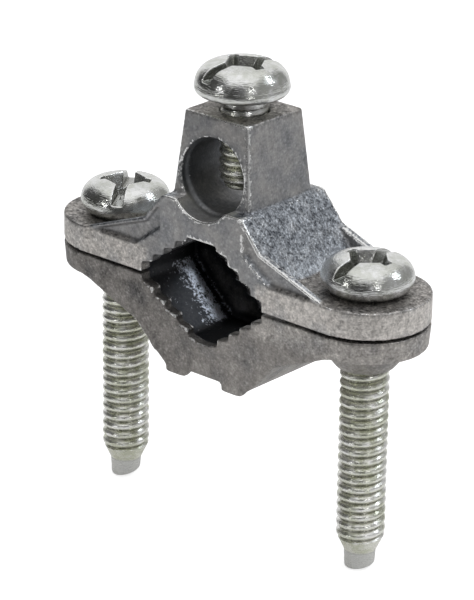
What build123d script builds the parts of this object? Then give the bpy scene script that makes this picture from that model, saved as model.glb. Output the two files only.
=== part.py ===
# Ground clamp: two toothed die-cast jaws, drawn together on a pipe by two screws, with a
# third screw that pinches the bare earthing wire in the tower of the upper jaw.
# Millimetres. X runs from clamp screw to clamp screw, Y along the pipe, Z up the tower.
# The origin is the middle of the pipe opening, on the underside of the upper jaw.

import os
from math import radians, tan

from build123d import *

# Overall layout
screw_spacing = 40.6
ear_radius = 8.0
ear_thickness = 3.55
jaw_gap = 0.4
casting_draft = 5.0

# Quarter-inch screws, shared by all three
screw_dia = 6.2
thread_play = 0.05
ear_hole_play = 0.35
head_seat_dia = 8.8
head_widest_at = 1.7
head_top_dia = 8.2
head_crown = 0.75
head_under_bulge = 0.38
head_side_bulge = 0.5
head_under_bands = 2
head_side_bands = 3
head_seat_gap = 0.05
drive_slot_width = 1.5
drive_depth = 2.2
drive_wing_reach = 3.4
drive_core_dia = 4.4
drive_core_depth = 3.2
drive_taper = 12.0

# Clamp screws
clamp_head_dia = 11.65
clamp_head_height = 4.6
clamp_thread_end = -31.55
clamp_thread_fade = 2.3
clamp_point_root_dia = 4.05
clamp_point_end_dia = 3.8
clamp_point_bottom = -34.0
left_point_slant = 14.5
left_point_bearing = 60.0
right_point_slant = 9.0
right_point_bearing = 41.0
left_drive_angle = 122.0
right_drive_angle = 88.0

# Wire screw
wire_head_dia = 11.9
wire_head_height = 4.4
wire_head_shift_x = -0.25
wire_head_shift_y = -0.22
wire_screw_tip = 12.1
wire_screw_tip_chamfer = 0.6
wire_head_gap = 2.05
wire_drive_angle = 76.0

# Toothed opening for the pipe
opening_half_width = 10.1
tooth_run = 1.9
tooth_count = 4
tooth_ramp = 0.45
upper_first_tooth = 1.3
upper_tooth_rise = 1.4
upper_opening_top = 6.57
lower_first_tooth = 1.0
lower_tooth_rise = 1.36
lower_opening_depth = 6.9
rim_depth = 1.8

# Saddle and ribs of the upper jaw
saddle_top = 11.2
saddle_top_half = 6.5
saddle_kink_x = 9.7
saddle_kink_z = 7.4
saddle_corner_radius = 0.7
saddle_foot_radius = 1.2
rib_end_x = 20.0
rib_thickness = 1.1
pocket_depth = 0.6
pocket_lip = 0.35
pocket_inner_x = 6.9
pocket_inner_z = 6.57
pocket_foot_x = 11.0
pocket_wall_angle = 20.0
upper_wall = 2.0
upper_recess_top = 7.9
upper_recess_half = 12.0

# Tower and wire hole
tower_x = -0.15
tower_top = 22.1
tower_base_length = 12.6
tower_base_width = 12.2
tower_top_length = 10.5
tower_top_width = 10.4
tower_edge_radius = 0.45
wire_hole_height = 14.4
wire_hole_dia = 9.4
wire_lead_in_dia = 10.2
wire_lead_in_start = 5.2
wire_lead_in_chamfer = 0.4

# Lower jaw
lower_ear_thickness = 2.9
lower_ear_slope_start_x = 20.6
lower_ear_slope_radius = 6.0
flank_kink_x = 11.5
flank_kink_z = -7.3
flank_kink_radius = 2.0
flank_belly_x = 8.9
flank_belly_z = -10.3
flank_belly_radius = 1.5
flank_foot_x = 6.9
lower_jaw_bottom = -12.0
lower_wall = 1.7
lower_recess_floor = -9.6
lower_recess_radius = 2.0
lower_recess_half = 13.6
lug_height = 1.1
lug_inner_x = 2.65
lug_outer_x = 6.8
lug_back_y = 6.2
lug_small_radius = 0.35
lug_large_radius = 1.7
opening_rim_width = 1.6
opening_rim_draft = 3.5
collar_bottom = -6.3
collar_base_dia = 14.5
collar_end_dia = 7.4

# Derived places
clamp_screw_x = screw_spacing / 2
clamp_head_seat = ear_thickness + head_seat_gap
wire_head_seat = tower_top + wire_head_gap
lower_top = -jaw_gap
screw_radius = screw_dia / 2
core_half_depth = ear_radius - rib_thickness
saddle_slope = (saddle_top - saddle_kink_z) / (saddle_kink_x - saddle_top_half)
saddle_foot_x = saddle_kink_x + (saddle_kink_z - ear_thickness) / saddle_slope
rib_slope = (saddle_kink_z - ear_thickness) / (rib_end_x - saddle_kink_x)
recess_half_depth = ear_radius - rim_depth


def mirrored(right_side):
    """Close an outline from its right half, listed from the top centre downwards."""
    left_side = [(-x, z) for x, z in reversed(right_side)]
    return right_side + left_side


def filled_outline(points, radii=None):
    """Face in the XZ plane inside straight sides, with a radius for each corner."""
    if radii is None:
        edges = Polyline(*points, close=True)
    else:
        edges = FilletPolyline(*points, radius=radii, close=True)
    return make_face(Plane.XZ * edges)


def across_pipe(face, half_depth):
    """Solid of a face in the XZ plane, as deep to the front as to the back."""
    return extrude(face, amount=half_depth, both=True)


def box_between(x0, x1, y0, y1, z0, z1):
    """Block between two corners."""
    centre = Location(((x0 + x1) / 2, (y0 + y1) / 2, (z0 + z1) / 2))
    return centre * Box(x1 - x0, y1 - y0, z1 - z0)


def tooth_outline(first_tooth, rise, limit):
    """Right half of the stepped opening, as x and distance from the parting plane."""
    points = [(opening_half_width, 0)]
    for i in range(tooth_count + 1):
        x = opening_half_width - i * tooth_run
        crest = first_tooth + i * rise
        valley = crest + tooth_ramp
        points.append((x, min(crest, limit)))
        if valley < limit:
            points.append((x - tooth_run, valley))
    return points


def opening_solid(first_tooth, rise, limit, parting_z, direction, half_depth):
    """Prism of the toothed opening on one side of the parting plane."""
    steps = tooth_outline(first_tooth, rise, limit)
    right = [(x, parting_z + direction * depth) for x, depth in reversed(steps)]
    overshoot = (opening_half_width, parting_z - direction * jaw_gap)
    return across_pipe(filled_outline(mirrored(right + [overshoot])), half_depth)


def ear_plan(z, shrink=0.0):
    """Stadium outline of both ears at one height."""
    radius = ear_radius - shrink
    length = screw_spacing + 2 * radius
    return Plane.XY.offset(z) * SlotOverall(length, 2 * radius)


def ribbed_saddle():
    """Sloping shoulders under the tower, with a thin rib along each outer edge."""
    slope_top = (saddle_top_half, saddle_top)
    ear_edge = (clamp_screw_x, ear_thickness)
    foot = (saddle_foot_x, ear_thickness)
    base = (clamp_screw_x, ear_thickness / 2)
    core_points = mirrored([slope_top, foot, ear_edge, base])
    corner, concave, end = saddle_corner_radius, saddle_foot_radius, 0.0
    radii = [corner, concave, end, end, end, end, concave, corner]
    core = across_pipe(filled_outline(core_points, radii), core_half_depth + rib_thickness / 2)
    kink = (saddle_kink_x, saddle_kink_z)
    rib_end = (rib_end_x, ear_thickness)
    rib_base = (rib_end_x, ear_thickness / 2)
    rib_points = mirrored([slope_top, kink, rib_end, rib_base])
    radii = [corner, end, end, end, end, end, end, corner]
    ribbed = across_pipe(filled_outline(rib_points, radii), ear_radius)
    between = box_between(-rib_end_x, rib_end_x, -core_half_depth, core_half_depth,
                          ear_thickness, saddle_top + ear_thickness)
    return core + (ribbed - between)


def side_pocket():
    """Shallow triangular pocket in the front face, under the right rib."""
    lip_x = pocket_lip * (1 + rib_slope)
    inner_top = saddle_top - (pocket_inner_x + lip_x - saddle_top_half) * saddle_slope
    points = [
        (pocket_foot_x, ear_thickness),
        (pocket_inner_x, pocket_inner_z),
        (pocket_inner_x, inner_top),
        (saddle_kink_x - pocket_lip, saddle_kink_z - pocket_lip),
        (rib_end_x - pocket_lip / rib_slope, ear_thickness),
    ]
    face = Plane.XZ.offset(ear_radius) * make_face(Polyline(*points, close=True))
    return extrude(face, amount=-pocket_depth, taper=pocket_wall_angle)


def tower():
    """Drafted square tower that holds the wire screw."""
    overlap = ear_thickness
    base_growth = overlap / (tower_top - saddle_top)
    foot_length = tower_base_length + (tower_base_length - tower_top_length) * base_growth
    foot_width = tower_base_width + (tower_base_width - tower_top_width) * base_growth
    foot = Plane.XY.offset(saddle_top - overlap) * Rectangle(foot_length, foot_width)
    top = Plane.XY.offset(tower_top) * Rectangle(tower_top_length, tower_top_width)
    block = loft([foot, top], ruled=True)
    corners = block.edges() - block.faces().sort_by(Axis.Z)[0].edges()
    corners -= block.faces().sort_by(Axis.Z)[-1].edges()
    return Location((tower_x, 0, 0)) * fillet(corners, tower_edge_radius)


def wire_hole():
    """Round hole along Y for the wire, flared where it meets both faces."""
    bore_radius = wire_hole_dia / 2
    lead_radius = wire_lead_in_dia / 2
    flare = wire_lead_in_start - wire_lead_in_chamfer
    outside = ear_radius + rib_thickness
    profile = [
        (0, -outside), (lead_radius, -outside), (lead_radius, -wire_lead_in_start),
        (bore_radius, -flare), (bore_radius, flare),
        (lead_radius, wire_lead_in_start), (lead_radius, outside), (0, outside),
    ]
    turned = revolve(make_face(Polyline(*profile, close=True)), Axis.Y)
    return Location((tower_x, 0, wire_hole_height)) * turned


def upper_recess():
    """Hollow between the two toothed rims, with an even wall to the saddle slope."""
    inset = upper_wall * (1 + saddle_slope ** 2) ** 0.5 / saddle_slope
    top_x = saddle_top_half - inset + (saddle_top - upper_recess_top) / saddle_slope
    side_z = upper_recess_top - (upper_recess_half - top_x) * saddle_slope
    side = [(upper_recess_half, side_z)] if side_z > 0 else []
    low_x = upper_recess_half if side_z > 0 else top_x + upper_recess_top / saddle_slope
    right = [(top_x, upper_recess_top)] + side + [(low_x, -jaw_gap)]
    return across_pipe(filled_outline(mirrored(right)), recess_half_depth)


def upper_jaw():
    """Upper casting: ears, saddle, ribs, tower and toothed rims in one piece."""
    body = extrude(ear_plan(0), amount=ear_thickness)
    body += ribbed_saddle()
    body += tower()
    body -= opening_solid(upper_first_tooth, upper_tooth_rise, upper_opening_top,
                          0, 1, ear_radius + rib_thickness)
    body -= upper_recess()
    body -= wire_hole()
    for turn in (0, 180):
        pocket = Rot(0, 0, turn) * side_pocket()
        body -= pocket
        body -= mirror(pocket, Plane.YZ)
    tapped = Cylinder(screw_radius + thread_play, tower_top - wire_hole_height,
                      align=(Align.CENTER, Align.CENTER, Align.MIN))
    body -= Location((0, 0, wire_hole_height)) * tapped
    for x in (-clamp_screw_x, clamp_screw_x):
        body -= Location((x, 0, 0)) * Cylinder(screw_radius + ear_hole_play, 3 * ear_thickness)
    return body


def lower_profile():
    """Prism of the lower jaw's outer shape, seen along the pipe."""
    ear_bottom = lower_top - lower_ear_thickness
    ear_end = clamp_screw_x + ear_radius
    points = [
        (ear_end, lower_top), (ear_end, ear_bottom), (lower_ear_slope_start_x, ear_bottom),
        (flank_kink_x, flank_kink_z), (flank_belly_x, flank_belly_z),
        (flank_foot_x, lower_jaw_bottom),
    ]
    radii = [0, 0, lower_ear_slope_radius, flank_kink_radius, flank_belly_radius, 0]
    face = filled_outline(mirrored(points), radii + radii[::-1])
    return across_pipe(face, ear_radius)


def collar(x):
    """Cone of metal under one ear that gives the screw its length of thread."""
    ear_bottom = lower_top - lower_ear_thickness
    middle = ear_bottom + lower_ear_thickness / 2
    cone = Cone(collar_end_dia / 2, collar_base_dia / 2, middle - collar_bottom,
                align=(Align.CENTER, Align.CENTER, Align.MIN))
    return Location((x, 0, collar_bottom)) * cone


def drafted_stadium(draft):
    """Block that narrows downwards, as a casting does to leave its mould."""
    depth = lower_top - (lower_jaw_bottom - lug_height)
    narrow = depth * tan(radians(draft))
    wide_end = ear_plan(lower_top)
    narrow_end = ear_plan(lower_top - depth, narrow)
    return loft([wide_end, narrow_end], ruled=True)


def front_lug(x0):
    """Low lug under the front face, rounder on the side that points to +X."""
    x1 = x0 + lug_outer_x - lug_inner_x
    top = lower_jaw_bottom + lug_height
    bottom = lower_jaw_bottom - lug_height
    corners = [(x0, top), (x0, bottom), (x1, bottom), (x1, top)]
    face = filled_outline(corners, [0, lug_small_radius, lug_large_radius, 0])
    return Location((0, -lug_back_y, 0)) * extrude(face, amount=ear_radius - lug_back_y)


def opening_rim():
    """Rim along the lower V, with less draft than the face, so that it stands proud."""
    deepest = lower_opening_depth + opening_rim_width
    slope = lower_tooth_rise / tooth_run
    side_x = opening_half_width + opening_rim_width * (1 + slope)
    right = [(tooth_run, lower_top - deepest), (side_x, lower_top)]
    rim = across_pipe(filled_outline(mirrored(right)), ear_radius)
    return rim & drafted_stadium(opening_rim_draft)


def lower_recess():
    """Hollow of the lower jaw, with an even wall to the outer flank."""
    flank_slope = (flank_kink_z - lower_jaw_bottom) / (flank_kink_x - flank_foot_x)
    inset = lower_wall * (1 + flank_slope ** 2) ** 0.5 / flank_slope
    floor_x = flank_foot_x - inset + (lower_recess_floor - lower_jaw_bottom) / flank_slope
    side_z = lower_recess_floor + (lower_recess_half - floor_x) * flank_slope
    right = [(floor_x, lower_recess_floor), (lower_recess_half, side_z),
             (lower_recess_half, lower_top + jaw_gap)]
    bend = lower_recess_radius
    face = filled_outline(mirrored(right), [bend, bend, 0, 0, bend, bend])
    return across_pipe(face, recess_half_depth)


def lower_jaw():
    """Lower casting: drafted V with toothed rims, lugs and two threaded collars."""
    body = lower_profile()
    for x in (-lug_outer_x, lug_inner_x):
        body += front_lug(x)
    for x in (-clamp_screw_x, clamp_screw_x):
        body += collar(x)
    body = body & drafted_stadium(casting_draft)
    body += opening_rim()
    body -= opening_solid(lower_first_tooth, lower_tooth_rise, lower_opening_depth,
                          lower_top, -1, ear_radius + rib_thickness)
    body -= lower_recess()
    for x in (-clamp_screw_x, clamp_screw_x):
        body -= Location((x, 0, collar_bottom / 2)) * Cylinder(screw_radius + thread_play,
                                                               -2 * collar_bottom)
    return body


def drive_recess():
    """Cross recess with a straight slot right across the head, cut from z = 0 down."""
    slot = box_between(-wire_head_dia, wire_head_dia, -drive_slot_width / 2, drive_slot_width / 2,
                       -drive_depth, drive_core_depth)
    reach = 2 * drive_wing_reach
    wing = Plane.XY * Rectangle(reach, drive_slot_width)
    cross = extrude(wing, amount=-drive_core_depth, taper=drive_taper)
    cross += Rot(0, 0, 90) * cross
    core = Rot(0, 0, 45) * Rectangle(drive_core_dia, drive_core_dia)
    square = extrude(core, amount=-drive_core_depth, taper=2 * drive_taper)
    return slot + cross + square


def banded_arc(start, end, bulge, bands):
    """Points of an arc that bulges outwards, for a surface turned in even bands."""
    arc = SagittaArc(start, end, -bulge)
    return [arc @ (i / bands) for i in range(bands + 1)]


def pan_head(dia, height, drive_angle, shift_x=0.0, shift_y=0.0):
    """Pan head with its seat at z = 0; a shift strikes it off the middle of its recess."""
    seat = (head_seat_dia / 2, 0)
    widest = (dia / 2, head_widest_at)
    shoulder = (head_top_dia / 2, height - head_crown)
    middle = (0, height)
    profile = [(0, 0)] + banded_arc(seat, widest, head_under_bulge, head_under_bands)
    profile += banded_arc(widest, shoulder, head_side_bulge, head_side_bands)[1:]
    profile += [middle]
    turned = revolve(make_face(Plane.XZ * Polyline(*profile, close=True)), Axis.Z)
    head = Location((shift_x, shift_y, 0)) * turned
    return head - Location((0, 0, height), (0, 0, drive_angle)) * drive_recess()


def slanted_end(slant, bearing):
    """Block under a plane through the lowest point of a clamp screw's tip."""
    rise = clamp_point_end_dia / 2 * tan(radians(slant))
    plane = Location((0, 0, clamp_point_bottom + rise), (0, 0, bearing)) * Rot(0, -slant, 0)
    depth = clamp_thread_end - clamp_point_bottom
    return plane * Box(2 * screw_dia, 2 * screw_dia, depth, align=(Align.CENTER, Align.CENTER, Align.MAX))


def clamp_screw(x, drive_angle, slant, bearing):
    """Long screw whose thread fades into a narrow point, its tip cut a little aslant."""
    tip = clamp_point_bottom - head_crown
    profile = [
        (0, clamp_head_seat + head_crown), (screw_radius, clamp_head_seat + head_crown),
        (screw_radius, clamp_thread_end + clamp_thread_fade),
        (clamp_point_root_dia / 2, clamp_thread_end),
        (clamp_point_end_dia / 2, clamp_point_bottom), (clamp_point_end_dia / 2, tip), (0, tip),
    ]
    shank = revolve(make_face(Plane.XZ * Polyline(*profile, close=True)), Axis.Z)
    shank -= slanted_end(slant, bearing)
    head = pan_head(clamp_head_dia, clamp_head_height, drive_angle)
    return Location((x, 0, 0)) * (shank + Location((0, 0, clamp_head_seat)) * head)


def wire_screw():
    """Short screw in the tower that presses on the wire."""
    chamfer_radius = screw_radius - wire_screw_tip_chamfer
    profile = [
        (0, wire_head_seat + head_crown), (screw_radius, wire_head_seat + head_crown),
        (screw_radius, wire_screw_tip + wire_screw_tip_chamfer),
        (chamfer_radius, wire_screw_tip), (0, wire_screw_tip),
    ]
    shank = revolve(make_face(Plane.XZ * Polyline(*profile, close=True)), Axis.Z)
    head = pan_head(wire_head_dia, wire_head_height, wire_drive_angle,
                    wire_head_shift_x, wire_head_shift_y)
    return shank + Location((0, 0, wire_head_seat)) * head


parts = {
    "upper_jaw": upper_jaw(),
    "lower_jaw": lower_jaw(),
    "clamp_screw_left": clamp_screw(-clamp_screw_x, left_drive_angle,
                                    left_point_slant, left_point_bearing),
    "clamp_screw_right": clamp_screw(clamp_screw_x, right_drive_angle,
                                     right_point_slant, right_point_bearing),
    "wire_screw": wire_screw(),
}

os.makedirs("parts", exist_ok=True)
for node, shape in parts.items():
    export_step(shape, f"parts/{node}.step")
    print(node, len(shape.solids()), "solid", round(shape.volume, 1), "mm3")
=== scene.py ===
# %% [markdown]
# # A die-cast ground clamp
#
# Two rough zinc castings are drawn together on a water pipe by two long screws. A third
# screw, in the tower on top, pinches the bare earthing wire.
#
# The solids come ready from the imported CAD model, in metres, with the pipe along Y and the
# tower along Z. This lesson gives them their looks: castings with soft worn edges, and
# screws with real threads.

# %% Load the solids
import math

import bmesh
import bpy
import numpy as np
from mathutils import Matrix, Vector


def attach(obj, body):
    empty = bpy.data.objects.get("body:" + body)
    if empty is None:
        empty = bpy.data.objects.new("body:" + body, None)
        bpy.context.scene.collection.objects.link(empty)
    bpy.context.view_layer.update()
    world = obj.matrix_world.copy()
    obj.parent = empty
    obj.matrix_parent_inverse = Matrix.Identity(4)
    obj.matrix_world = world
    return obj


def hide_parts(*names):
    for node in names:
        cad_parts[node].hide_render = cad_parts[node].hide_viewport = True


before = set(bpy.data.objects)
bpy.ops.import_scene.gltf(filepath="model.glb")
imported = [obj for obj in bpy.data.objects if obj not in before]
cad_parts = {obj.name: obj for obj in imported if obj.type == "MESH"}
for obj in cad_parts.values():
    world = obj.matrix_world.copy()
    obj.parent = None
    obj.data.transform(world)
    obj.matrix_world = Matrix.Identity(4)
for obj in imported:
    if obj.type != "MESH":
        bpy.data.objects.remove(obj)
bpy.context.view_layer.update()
MM = 0.001

# %% [markdown]
# ## The castings
#
# Zinc is cast in a steel mould, so both jaws are sharp nowhere. A Bevel modifier could
# round the edges, but it fails where many small edges meet, as they do on the teeth.
# A voxel remesh turns the whole solid into small even faces instead. Those can be
# smoothed, which rounds every edge by about the size of a voxel.

# %% Helpers for meshes
def new_object(name, mesh):
    """Put a mesh into the scene as an object at the origin."""
    piece = bpy.data.objects.new(name, mesh)
    bpy.context.collection.objects.link(piece)
    return piece


def apply_modifiers(piece):
    """Bake the modifiers of a piece into its mesh."""
    graph = bpy.context.evaluated_depsgraph_get()
    result = bpy.data.meshes.new_from_object(piece.evaluated_get(graph))
    piece.modifiers.clear()
    piece.data = result


def add_small_faces(piece, voxel, smoothing):
    """Remesh a piece into even faces of one size and smooth its edges."""
    remesh = piece.modifiers.new("small_faces", "REMESH")
    remesh.mode = "VOXEL"
    remesh.voxel_size = voxel
    smooth = piece.modifiers.new("soft_edges", "SMOOTH")
    smooth.factor = 0.5
    smooth.iterations = smoothing


# %% Soften the castings
casting_voxel = 0.215 * MM
casting_smoothing = 3


def soft_casting(node, name):
    """Casting in small even faces, with every edge a little rounded."""
    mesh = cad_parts[node].data.copy()
    mesh.materials.clear()
    work = bmesh.new()
    work.from_mesh(mesh)
    bmesh.ops.remove_doubles(work, verts=work.verts, dist=0.0005 * MM)
    work.to_mesh(mesh)
    work.free()
    piece = new_object(name, mesh)
    add_small_faces(piece, casting_voxel, casting_smoothing)
    apply_modifiers(piece)
    piece.data.shade_smooth()
    print(name, len(piece.data.polygons), "faces")
    return piece


upper = soft_casting("upper_jaw", "upper_casting")
lower = soft_casting("lower_jaw", "lower_casting")

# %% [markdown]
# ## Where a casting wears, and where shade is painted
#
# Handling polishes the edges, and the inner corners between two walls get a painted shade.
# A material can show both if it knows where they are. The angle between neighbouring normals
# tells: they spread on an outer edge and close in on an inner corner. The sum is written to
# the mesh as two attributes, edge and corner, which any material can read by name.

# %% Measure edges and corners
def numbers(collection, field, width):
    """One property of many mesh elements as an array."""
    kind = np.int32 if field == "vertices" else np.float32
    values = np.empty(len(collection) * width, dtype=kind)
    collection.foreach_get(field, values)
    return values.reshape(-1, width) if width > 1 else values


def neighbour_mean(values, start, end, count):
    """Mean over each point's neighbours and itself."""
    total = np.bincount(start, values[end], count) + np.bincount(end, values[start], count)
    degree = np.bincount(start, minlength=count) + np.bincount(end, minlength=count)
    return (total + values) / (degree + 1)


def bending(mesh):
    """How much the surface curves at each point, per metre, above zero on outer edges."""
    place = numbers(mesh.vertices, "co", 3)
    normal = numbers(mesh.vertices, "normal", 3)
    start, end = numbers(mesh.edges, "vertices", 2).T
    step = place[end] - place[start]
    bend = ((normal[end] - normal[start]) * step).sum(1) / np.maximum((step ** 2).sum(1), 1e-12)
    count = len(mesh.vertices)
    degree = np.bincount(start, minlength=count) + np.bincount(end, minlength=count)
    total = np.bincount(start, bend, count) + np.bincount(end, bend, count)
    return neighbour_mean(total / np.maximum(degree, 1), start, end, count)


def write_attribute(mesh, name, values):
    """Store one number per point, kept between 0 and 1."""
    layer = mesh.attributes.new(name, "FLOAT", "POINT")
    layer.data.foreach_set("value", np.clip(values, 0, 1).astype(np.float32))


def mark_edges(mesh, radius):
    """Write edge and corner, which reach 1 where the surface bends as a small radius does."""
    curve = bending(mesh) * radius
    write_attribute(mesh, "edge", curve)
    write_attribute(mesh, "corner", -curve)
    print(mesh.name, "edge points:", int((curve > 0.5).sum()))


casting_edge_radius = 0.38 * MM
for piece in (upper, lower):
    mark_edges(piece.data, casting_edge_radius)

# %% [markdown]
# ## Zones of a casting
#
# The skin of a die casting isn't the same all over. The saddle's slopes are mottled and
# bluish, and the rims of the ears are pale and warm. The tone of each zone is partly painted
# light as well: a zone is made lighter or darker as its faces are lit. The hollow inside and
# the wire hole get a painted shade, and one flank at the back of the hollow gets a speckled
# painted reflection. Hands and spanners reach the tower, the right slope and the mouth of the
# wire hole, so those edges are worn bright, and they also get painted highlights where the
# edges catch the light. Pipes wear the teeth a little less, and the edges at the parting line
# are still dull.
#
# The zones could be painted by hand, but paint is lost with each new mesh. Here each zone
# is found from where a point lies and which way it faces, and is written as an attribute.
# Places are in millimetres here, with x to the right, y to the back and z up.

# %% Marks for the skin of a casting
ear_top = 3.55
ear_start = 9
saddle_top = 11.5
tower_flat = 20
recess_half_depth = 6.25
hollow_reach, hollow_bottom, hollow_top = 13.8, -9.9, 8.2
flank_line = 6.0
wire_hole_height = 14.4
wire_hole_reach = 5.5
mouth_start = 5.6
mouth_bottom, mouth_top = 6.5, 11.4


def ramp(values, start, end):
    """0 before start, 1 after end and an even slope between them."""
    return np.clip((values - start) / (end - start), 0, 1)


def layered(base, *layers):
    """One value for all points, with the value of each zone laid over it in turn."""
    values = base
    for zone, value in layers:
        values = np.where(zone, value, values)
    return values


def skin_and_light_zones(place, normal):
    """Mottle and warmth of the skin, and a brightness that is partly painted light, each from 0 to
    1.
    """
    x, y, z = place
    nx, ny, nz = normal
    out = np.abs(x)
    low = z < 0
    slope = (nz > 0.35) & (z > ear_top + 0.3) & (z < saddle_top) & (out > 5)
    rim = (np.abs(nz) < 0.5) & (np.abs(z) < ear_top) & (out > ear_start)
    flat = (nz > 0.7) & (((z < ear_top + 0.6) & (out > 12)) | (z > tower_flat))
    mouth = (nz > 0.2) & (z > mouth_bottom) & (z < mouth_top)
    mouth &= (np.abs(y) > mouth_start) & (out < 5.2)
    rib_top = (nz > 0.5) & (z > ear_top + 0.1) & (x < -6) & (y < -6)
    upper_front = (z > 0.8) & (x > -7) & (ny < -0.5)
    tower_right = (z > 9) & (nx > 0.5)
    mottle = layered(0.3, (flat, 0.8), (rim, 0.75), (slope, 1.0),
                     (rim & low, 0.5), (rim & low & (x < 0), 0.3))
    warmth = layered(0.5, (rim | flat | low, 1.0), (slope, 0.0))
    # Tone is the skin's brightness and also painted light: the tower's right face, the front
    # faces, the rims towards the right and the floor at the wire hole's mouth are painted lighter,
    # the lower jaw darker on its left, the flats and the rib tops darker, and the foot of each
    # slope lighter.
    tone_and_light = layered(0.47, (low, 0.25 + 0.16 * ramp(x, -ear_start, 3)),
                   (upper_front, 0.56), (tower_right, 0.54),
                   (rim & (z > 0), 0.82 + 0.12 * ramp(x, -ear_start, 12)),
                   (rim & low & (x > ear_start), 0.56), (mouth, 1.0), (flat, 0.39),
                   (slope, 0.47 + 0.35 * ramp(z, 6.0, 4.4)), (rib_top, 0.36))
    return mottle, warmth, tone_and_light


def hidden_zones(place, normal, middle_height):
    """Masks of painted shade in the hollow and the wire hole, and of a painted reflection on one
    flank at the back of the hollow.
    """
    x, y, z = place
    nx, _, nz = normal
    hollow = (nx * x + nz * (z - middle_height) < 0) & (np.abs(x) < hollow_reach)
    hollow &= (np.abs(y) < recess_half_depth + 0.15) & (z > hollow_bottom) & (z < hollow_top)
    above = z - wire_hole_height
    hole = (np.hypot(x, above) < wire_hole_reach) & (nx * x + nz * above < 0)
    bare_floor = (z < mouth_top) & (nz > 0.2) & (np.abs(y) >= mouth_start)
    # The hole's painted shade leaves out the floor at its mouth and is weaker on its up-facing
    # bottom, which is lit.
    hole = hole * ~bare_floor * (1 - 0.6 * ramp(nz, 0.4, 0.9))
    # One flank of the hollow, and a thin line along its back edge, get a painted reflection.
    flank = (nx > 0.45) & (nz > 0.3) & (z < -1.8) & hollow
    shine = layered(ramp(y, 0.3, 4.6) * (y < 5.2), (np.abs(y - flank_line) < 0.2, 0.75))
    return hollow * 1.0, hole, flank * shine


def rubbed_and_glinting(place):
    """How bright an edge is painted, from 0 to 1: partly wear, partly painted highlight on edges
    that catch the light.
    """
    x, y, z = place
    front = y < -4
    lower_teeth = (np.abs(x) < 12) & (z > -9.5) & (z < -1.2)
    upper_teeth = (np.abs(x) < 12) & (z > 1.2) & (z < 8) & (np.abs(y) < 7.5)
    right_ear = (z > 3) & (x > ear_start)
    right_slope = (z > 3.8) & (z < saddle_top + 0.1) & (x > 3)
    wire_mouth = (z > mouth_bottom) & (np.abs(x) < 6.5) & (y < -6)
    left_side = (z > 3) & (x < -6)
    tower = z > saddle_top
    return layered(0.1, (z > 0, 0.25), (lower_teeth, 0.5), (lower_teeth & (x < 0), 0.72),
                   (upper_teeth, 0.5), (right_ear, 0.6), (right_slope, 1.0), (wire_mouth, 1.0),
                   (left_side, 0.15), (left_side & (y > 0), 0.7),
                   (tower, 0.35), (tower & front, 0.85), (tower & front & (x > 3), 1.0))


# %% Write the marks
hollow_middle = 0.5
zone_blur = 3


def mark_zones(mesh, middle_height):
    """Write every zone of a casting as an attribute, a little blurred."""
    place = numbers(mesh.vertices, "co", 3).T / MM
    normal = numbers(mesh.vertices, "normal", 3).T
    names = ("mottle", "warmth", "tone_and_light", "inside", "hole", "sheen_band", "rub_and_glint")
    hidden = hidden_zones(place, normal, middle_height)
    zones = (*skin_and_light_zones(place, normal), *hidden, rubbed_and_glinting(place))
    start, end = numbers(mesh.edges, "vertices", 2).T
    for name, values in zip(names, zones):
        for _ in range(zone_blur):
            values = neighbour_mean(values, start, end, len(values))
        write_attribute(mesh, name, values)
        print(mesh.name, name, round(float(values.mean()), 3))


mark_zones(upper.data, hollow_middle)
mark_zones(lower.data, -hollow_middle)

# %% [markdown]
# ## The screws
#
# A thread follows a rule: its radius depends only on the height and on the angle round the
# screw. A Screw modifier could sweep one, but it would leave the neck, the fading end and
# the point to be made by hand. So the shank is a flat grid of points that Geometry Nodes
# bends into a tube. One side of the grid runs round the screw, the other runs along it.
#
# The node groups hold long sums. This small class lets a script write such a sum as plain
# arithmetic, and adds one Math node for each sign.

# %% Arithmetic with node sockets
class Field:
    """A value in a node tree, for sums that are written as plain arithmetic."""

    def __init__(self, tree, socket):
        self.tree = tree
        self.socket = socket

    def math(self, operation, *others):
        node = self.tree.nodes.new("ShaderNodeMath")
        node.operation = operation
        for slot, value in zip(node.inputs, (self,) + others):
            if isinstance(value, Field):
                self.tree.links.new(value.socket, slot)
            else:
                slot.default_value = value
        return Field(self.tree, node.outputs[0])

    def __add__(self, other):
        return self.math("ADD", other)

    def __sub__(self, other):
        return self.math("SUBTRACT", other)

    def __mul__(self, other):
        return self.math("MULTIPLY", other)

    def __truediv__(self, other):
        return self.math("DIVIDE", other)

    def clamped(self):
        return self.math("MAXIMUM", 0.0).math("MINIMUM", 1.0)


def add_inputs(tree, names):
    """Named number inputs of a node group, as fields."""
    for name in names:
        tree.interface.new_socket(name, in_out="INPUT", socket_type="NodeSocketFloat")
    node = tree.nodes.new("NodeGroupInput")
    return {name: Field(tree, node.outputs[name]) for name in names}


# %% [markdown]
# The rolled thread has broad round crests and narrow dark roots. With f running from 0 to
# 1 over one pitch, the groove is deepest at both ends of that run: depth times the
# distance from the middle, raised to a power. The higher the power, the broader the crest.
#
# Near the tip the thread fades into a cone, and a slanted plane cuts the point.

# %% The thread as a node tree
turns_around = 72
rows_along = 600
crest_power = 2.2
end_edge_draw = 0.6
thread_inputs = ("Radius", "Pitch", "Depth", "Top", "Bottom", "Neck", "Neck radius", "Fade end",
                 "Fade length", "Root radius", "End radius", "End edge", "Slant x", "Slant y",
                 "Centre x")


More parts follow.
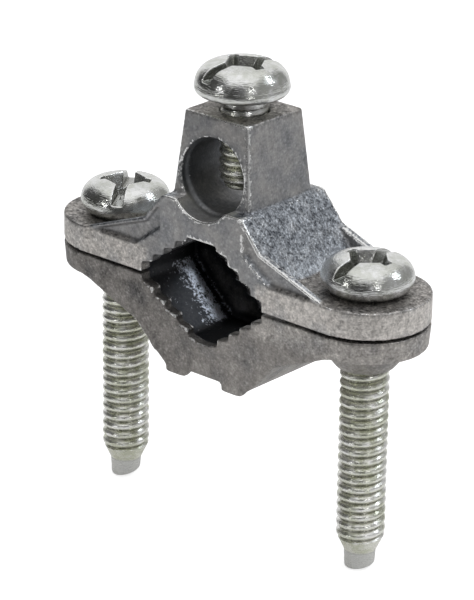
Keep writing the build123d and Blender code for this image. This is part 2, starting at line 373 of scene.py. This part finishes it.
def thread_radius(given, height, turn):
    """Radius of the shank at a height and a share of a turn."""
    wave = (height / given["Pitch"] - turn).math("FRACT") * 2.0 - 1.0
    groove = wave.math("ABSOLUTE").math("POWER", crest_power) * given["Depth"]
    neck = ((height - given["Neck"]) / given["Pitch"] + 0.5).clamped()
    threaded = given["Radius"] - groove
    necked = threaded + (given["Neck radius"] - threaded) * neck
    fade = (height - given["Fade end"]) / given["Fade length"]
    cone = given["Root radius"] + fade * (given["Radius"] - given["Root radius"])
    share = (height - given["Bottom"]) / (given["Fade end"] - given["Bottom"])
    point = given["End radius"] + share.clamped() * (given["Root radius"] - given["End radius"])
    rounding = ((height - given["Bottom"]) / given["End edge"]).clamped() * -1.0 + 1.0
    edge = rounding * rounding * given["End edge"] * end_edge_draw
    return necked.math("MINIMUM", cone.math("MAXIMUM", point)) - edge, share


def bent_grid(tree, given):
    """Grid whose points are moved onto the threaded surface, its end rows onto the axis."""
    grid = tree.nodes.new("GeometryNodeMeshGrid")
    grid.inputs["Vertices X"].default_value = turns_around + 1
    grid.inputs["Vertices Y"].default_value = rows_along
    position = tree.nodes.new("GeometryNodeInputPosition")
    split = tree.nodes.new("ShaderNodeSeparateXYZ")
    tree.links.new(position.outputs[0], split.inputs[0])
    # The grid is one metre square round the origin, so both shares run from 0 to 1.
    turn = Field(tree, split.outputs[0]) + 0.5
    along = Field(tree, split.outputs[1]) + 0.5
    step = 1 / (rows_along - 1)
    climb = ((along - step) / (1 - 2 * step)).clamped()
    height = given["Bottom"] + climb * (given["Top"] - given["Bottom"])
    radius, share = thread_radius(given, height, turn)
    not_cap = (along - 0.5).math("ABSOLUTE").math("LESS_THAN", 0.5 - 0.5 * step)
    angle = turn * (2 * math.pi)
    x = angle.math("COSINE") * radius * not_cap
    y = angle.math("SINE") * radius * not_cap
    slant = (x * given["Slant x"] + y * given["Slant y"]) * (share * -1.0 + 1.0).clamped()
    place = tree.nodes.new("ShaderNodeCombineXYZ")
    for value, slot in zip((x + given["Centre x"], y, height + slant), place.inputs):
        tree.links.new(value.socket, slot)
    bend = tree.nodes.new("GeometryNodeSetPosition")
    tree.links.new(grid.outputs["Mesh"], bend.inputs["Geometry"])
    tree.links.new(place.outputs[0], bend.inputs["Position"])
    return bend


def shank_tree():
    """Node tree of a threaded shank, from a flat grid to a closed tube with its finish."""
    tree = bpy.data.node_groups.new("threaded_shank", "GeometryNodeTree")
    tree.interface.new_socket("Shank", in_out="OUTPUT", socket_type="NodeSocketGeometry")
    tree.interface.new_socket("Finish", in_out="INPUT", socket_type="NodeSocketMaterial")
    given = add_inputs(tree, thread_inputs)
    bend = bent_grid(tree, given)
    close = tree.nodes.new("GeometryNodeMergeByDistance")
    close.inputs["Distance"].default_value = 0.001 * MM
    realize = tree.nodes.new("GeometryNodeRealizeInstances")
    finish = tree.nodes.new("GeometryNodeSetMaterial")
    out = tree.nodes.new("NodeGroupOutput")
    for before, after in ((bend, close), (close, realize), (realize, finish), (finish, out)):
        tree.links.new(before.outputs[0], after.inputs[0])
    tree.links.new(given["Radius"].socket.node.outputs["Finish"], finish.inputs["Material"])
    return tree


shank_nodes = shank_tree()
print("shank tree:", len(shank_nodes.nodes), "nodes")

# %% [markdown]
# ## Finishes
#
# The materials come next, because the screw tree sets one. Two effects are used more than
# once, so each is a shader node group. Such a group may only put out values: the
# Principled BSDF stays in the material itself.
#
# *Grain* mixes three sizes of noise, from specks to clouds. *Wear* turns the smooth edge
# attribute into a broken bright line, by holding it against noise.

# %% The grain group
# Share of the specks' rate, and detail, for the specks, the mottle and the clouds.
grain_layers = ((1.0, 1.0), (0.38, 4.0), (0.09, 3.0))
grain_gain = 4.0


def noise_field(tree, vector, size, rate_share, detail):
    """Noise on a vector, centred on 0, for a speck of a size that comes in as a field."""
    node = tree.nodes.new("ShaderNodeTexNoise")
    node.inputs["Detail"].default_value = detail
    tree.links.new(vector, node.inputs["Vector"])
    rate = size.math("POWER", -1.0) * rate_share
    tree.links.new(rate.socket, node.inputs["Scale"])
    return Field(tree, node.outputs["Fac"]) - 0.5


def shader_group(name, inputs, outputs):
    """Empty shader node group with a vector and some numbers going in and numbers out."""
    tree = bpy.data.node_groups.new(name, "ShaderNodeTree")
    tree.interface.new_socket("Vector", in_out="INPUT", socket_type="NodeSocketVector")
    given = add_inputs(tree, inputs)
    for output in outputs:
        tree.interface.new_socket(output, in_out="OUTPUT", socket_type="NodeSocketFloat")
    vector = given[inputs[0]].socket.node.outputs["Vector"]
    return tree, given, vector, tree.nodes.new("NodeGroupOutput")


def grain_group():
    """Specks, mottle and clouds of a cast or plated skin, each centred on 0."""
    outputs = ["Specks", "Mottle", "Clouds"]
    tree, given, vector, out = shader_group("grain", ["Speck size"], outputs)
    for slot, (rate_share, detail) in zip(out.inputs, grain_layers):
        noise = noise_field(tree, vector, given["Speck size"], rate_share, detail)
        tree.links.new((noise * grain_gain).socket, slot)
    return tree


grain = grain_group()
print("grain group:", len(grain.nodes), "nodes")

# %% The wear group
wear_gain = 3.0
wear_edge_gain, wear_edge_start = 2.2, 1.45
wear_noise_gain = 2.6


def wear_group():
    """Broken bright line along edges, from the edge attribute."""
    tree, given, vector, out = shader_group("wear", ["Edge", "Break size", "Amount"], ["Wear"])
    noise = noise_field(tree, vector, given["Break size"], rate_share=1.0, detail=2.0)
    gaps = noise * wear_noise_gain
    line = given["Edge"] * wear_edge_gain - wear_edge_start + gaps + given["Amount"]
    tree.links.new((line * wear_gain).clamped().socket, out.inputs[0])
    return tree


wear = wear_group()
print("wear group:", len(wear.nodes), "nodes")

# %% A helper for materials
class Finish:
    """A new material with its Principled BSDF and object coordinates at hand."""

    def __init__(self, name):
        self.material = bpy.data.materials.new(name)
        self.material.use_nodes = True
        self.tree = self.material.node_tree
        self.shader = self.tree.nodes["Principled BSDF"]
        self.place = self.tree.nodes.new("ShaderNodeTexCoord").outputs["Object"]

    def attribute(self, name, output="Fac"):
        node = self.tree.nodes.new("ShaderNodeAttribute")
        node.attribute_name = name
        return Field(self.tree, node.outputs[output])

    def group(self, group, vector=None, **values):
        node = self.tree.nodes.new("ShaderNodeGroup")
        node.node_tree = group
        self.tree.links.new(vector.socket if vector else self.place, node.inputs["Vector"])
        for name, value in values.items():
            slot = node.inputs[name.replace("_", " ")]
            if isinstance(value, Field):
                self.tree.links.new(value.socket, slot)
            else:
                slot.default_value = value
        return {out.name: Field(self.tree, out) for out in node.outputs}

    def worn(self, gap, amount):
        """Share of bare metal along the edges, broken by gaps of about one size."""
        edge = self.attribute("edge")
        return self.group(wear, Edge=edge, Break_size=gap, Amount=amount)["Wear"]

    def mix(self, share, first, second):
        """Colour between two colours, which are sockets or plain numbers."""
        node = self.tree.nodes.new("ShaderNodeMix")
        node.data_type = "RGBA"
        self.tree.links.new(share.socket, node.inputs[0])
        for slot, colour in ((node.inputs[6], first), (node.inputs[7], second)):
            if isinstance(colour, tuple):
                slot.default_value = (*colour, 1.0)
            else:
                self.tree.links.new(colour, slot)
        return node.outputs[2]

    def feed(self, name, value):
        socket = value.socket if isinstance(value, Field) else value
        self.tree.links.new(socket, self.shader.inputs[name])

    def bump(self, height, depth):
        node = self.tree.nodes.new("ShaderNodeBump")
        node.inputs["Distance"].default_value = depth
        self.tree.links.new(height.socket, node.inputs["Height"])
        self.tree.links.new(node.outputs[0], self.shader.inputs["Normal"])


# %% [markdown]
# ### Cast zinc
#
# The castings are grey zinc: metallic but dull, so the roughness is high and the colour is
# only a mid grey. The tone of each zone, which is partly painted light, goes into one share
# between dark and light, and the grain moves that share up and down. Wear brightens the edges
# and also makes them smoother, and paints highlights on some. Inner corners, the wire hole
# and the hollow get a painted shade, and one flank of the hollow a speckled painted
# reflection.

# %% Mix the cast zinc
zinc_speck = 0.28 * MM
zinc_wear_gap = 0.4 * MM
zinc_relief = 0.03 * MM
cool_dark, cool_pale = (0.060, 0.065, 0.075), (0.66, 0.69, 0.735)
warm_dark, warm_pale = (0.068, 0.062, 0.058), (0.84, 0.80, 0.76)
corner_shade = (0.06, 0.06, 0.06)
hole_shade = (0.035, 0.042, 0.05)
hollow_shade = (0.03, 0.034, 0.042)
painted_sheen = (0.86, 0.90, 1.0)
bare_zinc_and_glint = (0.92, 0.92, 0.91)


def cast_zinc():
    """Mottled grey zinc with worn bright edges and an oily hollow."""
    finish = Finish("cast_zinc")
    skin = finish.group(grain, Speck_size=zinc_speck)
    mottle = finish.attribute("mottle")
    inside = finish.attribute("inside")
    speckle = (skin["Specks"] * 0.6 + skin["Mottle"] * 0.7) * mottle + skin["Clouds"] * 0.2
    flecks = ((skin["Specks"] + skin["Mottle"] * 0.6 - 0.55) * 2.0).clamped() * mottle
    share = (speckle * 0.48 + flecks * 0.25 + finish.attribute("tone_and_light") * 0.78).clamped()
    cool = finish.mix(share, cool_dark, cool_pale)
    warm = finish.mix(share, warm_dark, warm_pale)
    hue = (finish.attribute("warmth") + skin["Clouds"] * 0.3).clamped()
    grey = finish.mix(hue, cool, warm)
    # Inner corners get a painted shade.
    corner_shaded = finish.mix(finish.attribute("corner") * 0.16, grey, corner_shade)
    # The wire hole gets a painted shade.
    hole_shaded = finish.mix(finish.attribute("hole") * 0.7, corner_shaded, hole_shade)
    # The hollow inside gets a painted shade.
    dark = finish.mix(inside * 0.85, hole_shaded, hollow_shade)
    # A speckled painted reflection on one flank of the hollow.
    shine = skin["Mottle"] * 0.8 + skin["Specks"] * 0.7 + finish.attribute("sheen_band") * 1.8
    sheen_share = (shine - 0.75).clamped() * inside
    sheened = finish.mix(sheen_share, dark, painted_sheen)
    # Bright edges are partly wear and partly painted highlight.
    worn = finish.worn(zinc_wear_gap, finish.attribute("rub_and_glint") * 1.8 - 0.8)
    finish.feed("Base Color", finish.mix(worn * 0.85, sheened, bare_zinc_and_glint))
    finish.feed("Metallic", sheen_share * -0.1 + 0.85)
    finish.feed("Roughness", share * -0.1 + 0.52 - worn * 0.2 - inside * 0.1)
    finish.bump(speckle - inside * speckle * 0.3, zinc_relief)
    return finish.material


zinc = cast_zinc()
upper.data.materials.append(zinc)
lower.data.materials.append(zinc)
print("cast zinc:", len(zinc.node_tree.nodes), "nodes")

# %% [markdown]
# ### Plated steel
#
# The screws are steel with bright zinc plating. The heads were turned, so fine rings run
# round them: their grain is laid along the radius, height and angle of the screw, which the
# mesh carries as an attribute. The thread is a little rougher, with a faint yellow and green
# cast. Its lower flanks, which face down, get a painted shade in that cast. The cut tip is
# plain grey, and the roots of the thread and the drive recess get a painted shade. Wear is
# held off the thread, because a bright line along every crest would look drawn.

# %% Mix the plated steel
steel_speck = 0.35 * MM
ring_spacing = 0.11 * MM
steel_wear_gap = 0.8 * MM
steel_relief = 0.012 * MM
head_dark, head_pale = (0.60, 0.61, 0.57), (0.77, 0.775, 0.77)
thread_dark, thread_pale = (0.64, 0.655, 0.54), (0.98, 0.975, 0.95)
flank_stain_and_shade = (0.54, 0.54, 0.42)
tip_grey = (0.60, 0.60, 0.58)
root_shade = (0.16, 0.155, 0.12)
recess_shade = (0.12, 0.12, 0.10)
bare_steel = (0.9, 0.9, 0.89)


def plated_steel():
    """Bright plating, with turned rings on the head and a stained thread."""
    finish = Finish("plated_steel")
    skin = finish.group(grain, Speck_size=steel_speck)
    lathe = finish.attribute("lathe", "Vector")
    rings = finish.group(grain, vector=lathe, Speck_size=ring_spacing)
    thread = finish.attribute("thread")
    tint = (skin["Clouds"] * 0.8 + skin["Mottle"] * 0.7 + 0.5).clamped()
    head = finish.mix(tint, head_dark, head_pale)
    shank = finish.mix(tint, thread_dark, thread_pale)
    pale = finish.mix(thread, head, shank)
    # Flanks that face down: a yellow cast with painted shade.
    under = finish.mix(finish.attribute("under") * 0.7, pale, flank_stain_and_shade)
    blunt = finish.mix(finish.attribute("tip"), under, tip_grey)
    # The roots of the thread get a painted shade.
    root_shaded = finish.mix((finish.attribute("corner") * 0.6).clamped(), blunt, root_shade)
    # The drive recess gets a painted shade.
    recess_shaded = finish.mix(finish.attribute("recess") * 0.5, root_shaded, recess_shade)
    worn = finish.worn(steel_wear_gap, thread * -0.8 - 0.1)
    finish.feed("Base Color", finish.mix(worn * 0.6, recess_shaded, bare_steel))
    finish.feed("Metallic", thread * -0.15 + 1.0)
    scuff = (rings["Mottle"] * 0.08 + skin["Mottle"] * 0.05).math("MAXIMUM", -0.06)
    finish.feed("Roughness", scuff + thread * 0.08 + 0.19)
    relief = skin["Mottle"] * 0.6 + skin["Specks"] * 0.3 + rings["Specks"] * 0.8
    finish.bump(relief, steel_relief)
    return finish.material


steel = plated_steel()
print("plated steel:", len(steel.node_tree.nodes), "nodes")

# %% [markdown]
# ## Making the shanks
#
# The tree is set up once and used three times, with other numbers each time. A modifier's
# inputs are set by their identifiers, because two sockets may have the same name.

# %% Make a shank
screw_radius = 3.1 * MM
pitch = 1.27 * MM
thread_depth = 0.6 * MM
screw_x = 20.3 * MM
clamp_seat = 3.6 * MM
wire_seat = 24.15 * MM
point_bottom = -34.0 * MM
head_overlap = 1.0 * MM


def shank(name, values):
    """Closed mesh of one threaded shank."""
    piece = new_object(name, bpy.data.meshes.new(name))
    modifier = piece.modifiers.new("thread", "NODES")
    modifier.node_group = shank_nodes
    common = {"Finish": steel, "Radius": screw_radius, "Pitch": pitch, "Depth": thread_depth,
              "Neck radius": screw_radius - 0.3 * thread_depth, "End edge": 0.25 * MM}
    given = {**common, **values}
    for item in shank_nodes.interface.items_tree:
        if item.in_out == "INPUT":
            modifier[item.identifier] = given[item.name]
    apply_modifiers(piece)
    work = bmesh.new()
    work.from_mesh(piece.data)
    bmesh.ops.recalc_face_normals(work, faces=work.faces)
    work.to_mesh(piece.data)
    work.free()
    print(name, len(piece.data.polygons), "faces")
    return piece


def clamp_shank(name, x, slant, bearing):
    """Shank of a clamp screw, its tip cut along a slanted plane."""
    end_radius = 1.9 * MM
    tilt = math.tan(math.radians(slant))
    away = math.radians(bearing)
    return shank(name, {
        "Top": clamp_seat + head_overlap, "Bottom": point_bottom + end_radius * tilt,
        "Neck": clamp_seat, "Fade end": -31.55 * MM, "Fade length": 2.3 * MM,
        "Root radius": 2.025 * MM, "End radius": end_radius, "Centre x": x,
        "Slant x": tilt * math.cos(away), "Slant y": tilt * math.sin(away)})


left_shank = clamp_shank("left_shank", -screw_x, slant=14.5, bearing=60)
right_shank = clamp_shank("right_shank", screw_x, slant=9, bearing=41)
wire_shank = shank("wire_shank", {
    "Top": wire_seat + head_overlap, "Bottom": 12.1 * MM, "Neck": 22.2 * MM,
    "Fade end": 12.7 * MM, "Fade length": 0.6 * MM, "Root radius": 2.5 * MM,
    "End radius": 2.4 * MM, "Centre x": 0.0, "Slant x": 0.0, "Slant y": 0.0})

# %% [markdown]
# ## The heads
#
# Each head is turned round its axis from an outline of three arcs, and the cross and slot
# are cut with a Boolean. The same remesh as before then rounds the punched edges.

# %% An outline of arcs, turned round Z
head_segments = 96


def arc_points(start, end, bulge, count):
    """Points from start to end on an arc that bulges to the right by a distance."""
    chord = Vector(end) - Vector(start)
    half = chord.length / 2
    radius = (half * half + bulge * bulge) / (2 * bulge)
    side = Vector((chord.y, -chord.x)).normalized()
    middle = (Vector(start) + Vector(end)) / 2 + side * (bulge - radius)
    span = 2 * math.asin(half / radius)
    first = math.atan2(start[1] - middle.y, start[0] - middle.x)
    return [(middle.x + radius * math.cos(first + span * i / count),
             middle.y + radius * math.sin(first + span * i / count)) for i in range(count + 1)]


def turned(name, outline):
    """Closed mesh of (radius, height) points, from bottom to top, turned round Z."""
    work = bmesh.new()
    angles = [2 * math.pi * i / head_segments for i in range(head_segments)]
    rings = []
    for radius, height in outline:
        rings.append([work.verts.new((radius * math.cos(angle), radius * math.sin(angle), height))
                      for angle in angles])
    for low, high in zip(rings, rings[1:]):
        for i in range(head_segments):
            k = (i + 1) % head_segments
            work.faces.new((low[i], low[k], high[k], high[i]))
    work.faces.new(list(reversed(rings[0])))
    work.faces.new(rings[-1])
    mesh = bpy.data.meshes.new(name)
    work.to_mesh(mesh)
    work.free()
    return new_object(name, mesh)


# %% [markdown]
# A combination recess is a cross that is punched with tapered walls, plus a straight slot
# right across. Four tapered blocks cut it out: the slot, both arms of the cross and a
# square core between them.

# %% The drive recess
slot_length = 30 * MM
slot_width = 1.5 * MM
slot_depth = 2.2 * MM
core_depth = 3.2 * MM
wing_reach = 3.4 * MM
core_width = 4.8 * MM
# Length, width and depth, then taper and turn in degrees.
recess_blocks = (
    (slot_length, slot_width, slot_depth, 0, 0),
    (2 * wing_reach, slot_width, core_depth, 12, 0),
    (2 * wing_reach, slot_width, core_depth, 12, 90),
    (core_width, core_width, core_depth, 24, 45),
)


def tapered_block(name, length, width, depth, taper, turn, top):
    """Block that narrows downwards from the height top, turned round Z."""
    rise = 0.6 * MM
    least = 0.02 * MM
    slope = math.tan(math.radians(taper))
    sides = ((-1, -1), (1, -1), (1, 1), (-1, 1))
    corners = []
    for z, grow in ((rise, rise * slope), (-depth, -depth * slope)):
        half_x = max(length / 2 + grow, least)
        half_y = max(width / 2 + grow, least)
        corners += [(side_x * half_x, side_y * half_y, z) for side_x, side_y in sides]
    faces = [(0, 1, 2, 3), (7, 6, 5, 4), (4, 5, 1, 0), (5, 6, 2, 1), (6, 7, 3, 2), (7, 4, 0, 3)]
    mesh = bpy.data.meshes.new(name)
    mesh.from_pydata(corners, [], faces)
    mesh.transform(Matrix.Translation((0, 0, top)) @ Matrix.Rotation(turn, 4, "Z"))
    return new_object(name, mesh)


# %% Make the heads
head_voxel = 0.10 * MM
head_smoothing = 4
shoulder_radius = 4.1 * MM
crown_rise = 0.62 * MM
seat_bulge, side_bulge, crown_bulge = 0.38 * MM, 0.46 * MM, 0.12 * MM


def head_outline(width, height, seat_radius, widest_height):
    """Half outline of a pan head, from the edge of its seat to its crown."""
    widest = (width / 2, widest_height)
    shoulder = (shoulder_radius, height - crown_rise)
    outline = arc_points((seat_radius, 0), widest, seat_bulge, 10)
    outline += arc_points(widest, shoulder, side_bulge, 20)[1:]
    return outline + arc_points(shoulder, (0.0, height), crown_bulge, 20)[1:-1]


def pan_head(name, size, angle, place, offset=(0, 0)):
    """Pan head with its slot and cross, in small even faces."""
    height = size[1]
    piece = turned(name, head_outline(*size))
    piece.data.transform(Matrix.Translation((*offset, 0)))
    cutters = []
    for i, (length, breadth, depth, taper, turn) in enumerate(recess_blocks):
        turn = math.radians(turn + angle)
        block = tapered_block(f"{name}_cut_{i}", length, breadth, depth, taper, turn, height)
        cutters.append(block)
        cut = piece.modifiers.new("recess", "BOOLEAN")
        cut.operation = "DIFFERENCE"
        cut.object = block
        cut.solver = "EXACT"
    add_small_faces(piece, head_voxel, head_smoothing)
    apply_modifiers(piece)
    for cutter in cutters:
        bpy.data.objects.remove(cutter)
    piece.data.transform(Matrix.Translation(place))
    piece.data.materials.clear()
    piece.data.materials.append(steel)
    print(name, len(piece.data.polygons), "faces")
    return piece


# Width, height, radius of the seat and height of the widest ring.
clamp_head = (11.65 * MM, 4.6 * MM, 4.4 * MM, 1.7 * MM)
top_head = (11.9 * MM, 4.4 * MM, 5.2 * MM, 1.35 * MM)
left_place = (-screw_x, 0, clamp_seat)
right_place = (screw_x, 0, clamp_seat)
wire_place = (0, 0, wire_seat)
wire_offset = (-0.25 * MM, -0.22 * MM)

left_head = pan_head("left_head", clamp_head, angle=122, place=left_place)
right_head = pan_head("right_head", clamp_head, angle=88, place=right_place)
wire_head = pan_head("wire_head", top_head, angle=76, place=wire_place, offset=wire_offset)

# %% [markdown]
# ## Marks for the screws
#
# The material needs to know where a point lies on its own screw: how far from the axis, how
# high and how far round. It also needs to know what is thread, tip or recess, and which
# flanks of the thread face down. A point is in the recess when it lies well below the
# crown's own outline. The short neck under a head isn't thread, so it shines as the head.

# %% Write the marks of a screw
ring_length = 0.6 * MM
tip_height = -31.6 * MM
neck_length = 1.7 * MM


def mark_screw(mesh, size, place, offset):
    """Write lathe, recess, thread, under and tip on a screw."""
    x, y, z = numbers(mesh.vertices, "co", 3).T
    x, y = x - place[0] - offset[0], y - place[1] - offset[1]
    radius = np.hypot(x, y)
    lathe = np.stack((radius, z, np.arctan2(y, x) * ring_length), 1).astype(np.float32)
    mesh.attributes.new("lathe", "FLOAT_VECTOR", "POINT").data.foreach_set("vector", lathe.ravel())
    widest_height = size[3]
    crown = [point for point in reversed(head_outline(*size)) if point[1] > widest_height]
    surface = np.interp(radius, *np.array(crown).T) + place[2]
    depth = (surface - z) / MM
    write_attribute(mesh, "recess", ramp(depth, 0.12, 0.5) * (z > place[2] + widest_height))
    write_attribute(mesh, "thread", ramp(place[2] - z, neck_length, neck_length + 0.4 * MM))
    facing_up = numbers(mesh.vertices, "normal", 3).T[2]
    write_attribute(mesh, "under", ramp(facing_up, -0.1, -0.6) * (z < place[2]))
    write_attribute(mesh, "tip", ramp(z, tip_height + 0.3 * MM, tip_height))


# %% Join each head to its shank
screw_edge_radius = 0.5 * MM


def joined(name, pieces, head_size, place, offset=(0, 0)):
    """One object from several closed shells."""
    work = bmesh.new()
    for piece in pieces:
        work.from_mesh(piece.data)
        bpy.data.objects.remove(piece)
    mesh = bpy.data.meshes.new(name)
    work.to_mesh(mesh)
    work.free()
    mesh.materials.append(steel)
    mesh.shade_smooth()
    mark_edges(mesh, screw_edge_radius)
    mark_screw(mesh, head_size, place, offset)
    return new_object(name, mesh)


left_screw = joined("left_screw", [left_head, left_shank], clamp_head, left_place)
right_screw = joined("right_screw", [right_head, right_shank], clamp_head, right_place)
wire_screw = joined("top_screw", [wire_head, wire_shank], top_head, wire_place, wire_offset)

# %% [markdown]
# ## Riding on the solids
#
# Each finished piece stands for one CAD node and moves with that node's body. The CAD node
# stays hidden behind it for collision.

# %% Ride
pieces = ((upper, "upper_jaw", "casting"), (lower, "lower_jaw", "casting"),
          (left_screw, "clamp_screw_left", "screw"), (right_screw, "clamp_screw_right", "screw"),
          (wire_screw, "wire_screw", "screw"))
for piece, body, slot in pieces:
    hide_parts(body)
    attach(piece, body)
print(len(pieces), "pieces ride")

# %% [markdown]
# ## The studio
#
# Metal shows what it mirrors, so the room matters more than the lamps. The clamp stands on
# a sheet of white paper in a dim room that is lighter on the right. A long white panel rises
# behind it and bends over it, so everything that faces up turns bright, and the sides of the
# heads stay dark. A panel of mesh would get in the way of other views, so the room is drawn
# in the world, by direction. Three windows give the highlights on the heads and threads. The
# one on the right is wider and a little blue.

# %% Floor
view_azimuth = math.radians(41.266)
paper_front = 0.11
paper_back = 0.60
paper_side = 0.28
paper_colour = (0.8, 0.8, 0.8, 1)
paper_glow = 0.7
mirrored_glow = 0.25


def white_sheet(name, corners, height):
    """Flat sheet of paper, laid square to the camera."""
    mesh = bpy.data.meshes.new(name)
    mesh.from_pydata([(x, y, 0) for x, y in corners], [], [(0, 1, 2, 3)])
    mesh.transform(Matrix.Translation((0, 0, height)) @ Matrix.Rotation(view_azimuth, 4, "Z"))
    return new_object(name, mesh)


def shown_rays(tree):
    """Two fields: 1 for rays from the camera, and 1 for rays from a mirror or glass."""
    path = tree.nodes.new("ShaderNodeLightPath")
    camera_ray = Field(tree, path.outputs["Is Camera Ray"])
    glossy = Field(tree, path.outputs["Is Glossy Ray"])
    clear = Field(tree, path.outputs["Is Transmission Ray"])
    return camera_ray, glossy.math("MAXIMUM", clear)


def white_paper():
    """Pale paper that shows pure white but keeps the shadow."""
    finish = Finish("white_paper")
    finish.shader.inputs["Base Color"].default_value = paper_colour
    finish.shader.inputs["Roughness"].default_value = 1.0
    finish.shader.inputs["Emission Color"].default_value = (1, 1, 1, 1)
    seen, mirrored = shown_rays(finish.tree)
    finish.feed("Emission Strength", seen * paper_glow + mirrored * mirrored_glow)
    return finish.material


floor = white_sheet("floor", ((-paper_side, -paper_front), (paper_side, -paper_front),
                              (paper_side, paper_back), (-paper_side, paper_back)), point_bottom)
floor.data.materials.append(white_paper())
print("paper:", round(2 * paper_side, 2), "m wide")

# %% The room round the clamp
left_level = 0.07
right_level = 0.38
panel_level = 1.05
wall_level = 0.9
scene = bpy.context.scene
scene.view_settings.view_transform = "Standard"
world = bpy.data.worlds.new("studio")
scene.world = world
world.use_nodes = True


def soft_step(value, start, end):
    """0 before start, 1 after end and an even slope between them."""
    return ((value - start) / (end - start)).clamped()


def studio_room(tree):
    """Dim room with one white panel behind and above, and plain white for the camera.

    A direction has length 1, so each bound is the cosine of an angle.
    """
    direction = tree.nodes.new("ShaderNodeTexCoord").outputs["Generated"]
    split = tree.nodes.new("ShaderNodeSeparateXYZ")
    tree.links.new(direction, split.inputs[0])
    x, y = (Field(tree, out) for out in split.outputs[:2])
    rightward = x * math.cos(view_azimuth) + y * math.sin(view_azimuth)
    aside = rightward.math("ABSOLUTE")
    behind = y * math.cos(view_azimuth) - x * math.sin(view_azimuth)
    panel = soft_step(aside, 0.60, 0.42)
    panel = panel * soft_step(behind, -0.72, -0.60) * soft_step(behind, 0.82, 0.66)
    wall = soft_step(aside, 0.80, 0.45) * soft_step(behind, 0.62, 0.82)
    room = soft_step(rightward, -0.2, 0.8) * (right_level - left_level) + left_level
    level = room.math("MAXIMUM", panel * panel_level).math("MAXIMUM", wall * wall_level)
    seen = shown_rays(tree)[0]
    strength = level + seen * (level * -1.0 + 1.0)
    background = tree.nodes["Background"]
    background.inputs["Color"].default_value = (1, 1, 1, 1)
    tree.links.new(strength.socket, background.inputs["Strength"])


studio_room(world.node_tree)
print("room:", len(world.node_tree.nodes), "nodes")

# %% Lamps
def softbox(name, place, size, power, colour=(1, 1, 1)):
    """Square lamp that faces the clamp."""
    lamp = bpy.data.lights.new(name, "AREA")
    lamp.shape = "SQUARE"
    lamp.size = size
    lamp.energy = power
    lamp.color = colour
    holder = bpy.data.objects.new(name, lamp)
    holder.location = place
    holder.rotation_euler = (-Vector(place)).to_track_quat("-Z", "Y").to_euler()
    bpy.context.collection.objects.link(holder)


softbox("window_left", (-0.17, -0.66, 0.18), size=0.07, power=0.26)
softbox("window_front", (0.60, -0.30, 0.23), size=0.07, power=0.26)
softbox("window_right", (0.36, 0.36, 0.50), size=0.16, power=0.56, colour=(0.88, 0.94, 1.0))
print("lamps:", len(bpy.data.lights))

# %% [markdown]
# ## The camera
#
# The camera stands where the photographer stood. Its turn, height, roll and distance were
# fitted to the photograph. The focal length in pixels, over the picture's long side, gives
# the lens for a sensor 36 mm wide.

# %% Camera
view_elevation = math.radians(22.045)
view_roll = math.radians(0.737)
view_distance = 392.713 * MM
view_right = -0.639 * MM
view_up = -3.251 * MM
focal_pixels = 3106.462
picture_long_side = 600
sensor_width = 36.0

back = Vector((math.sin(view_azimuth) * math.cos(view_elevation),
               -math.cos(view_azimuth) * math.cos(view_elevation), math.sin(view_elevation)))
level = Vector((math.cos(view_azimuth), math.sin(view_azimuth), 0))
upright = back.cross(level)
rolled_right = level * math.cos(view_roll) + upright * math.sin(view_roll)
rolled_up = upright * math.cos(view_roll) - level * math.sin(view_roll)
lens = bpy.data.cameras.new("camera")
lens.sensor_width = sensor_width
lens.lens = focal_pixels / picture_long_side * sensor_width
lens.clip_start = 0.01
camera = bpy.data.objects.new("camera", lens)
place = back * view_distance + level * view_right + upright * view_up
turn = Matrix((rolled_right, rolled_up, back)).transposed().to_4x4()
camera.matrix_world = Matrix.Translation(place) @ turn
bpy.context.collection.objects.link(camera)
scene.camera = camera
print("lens", round(lens.lens, 1), "mm")
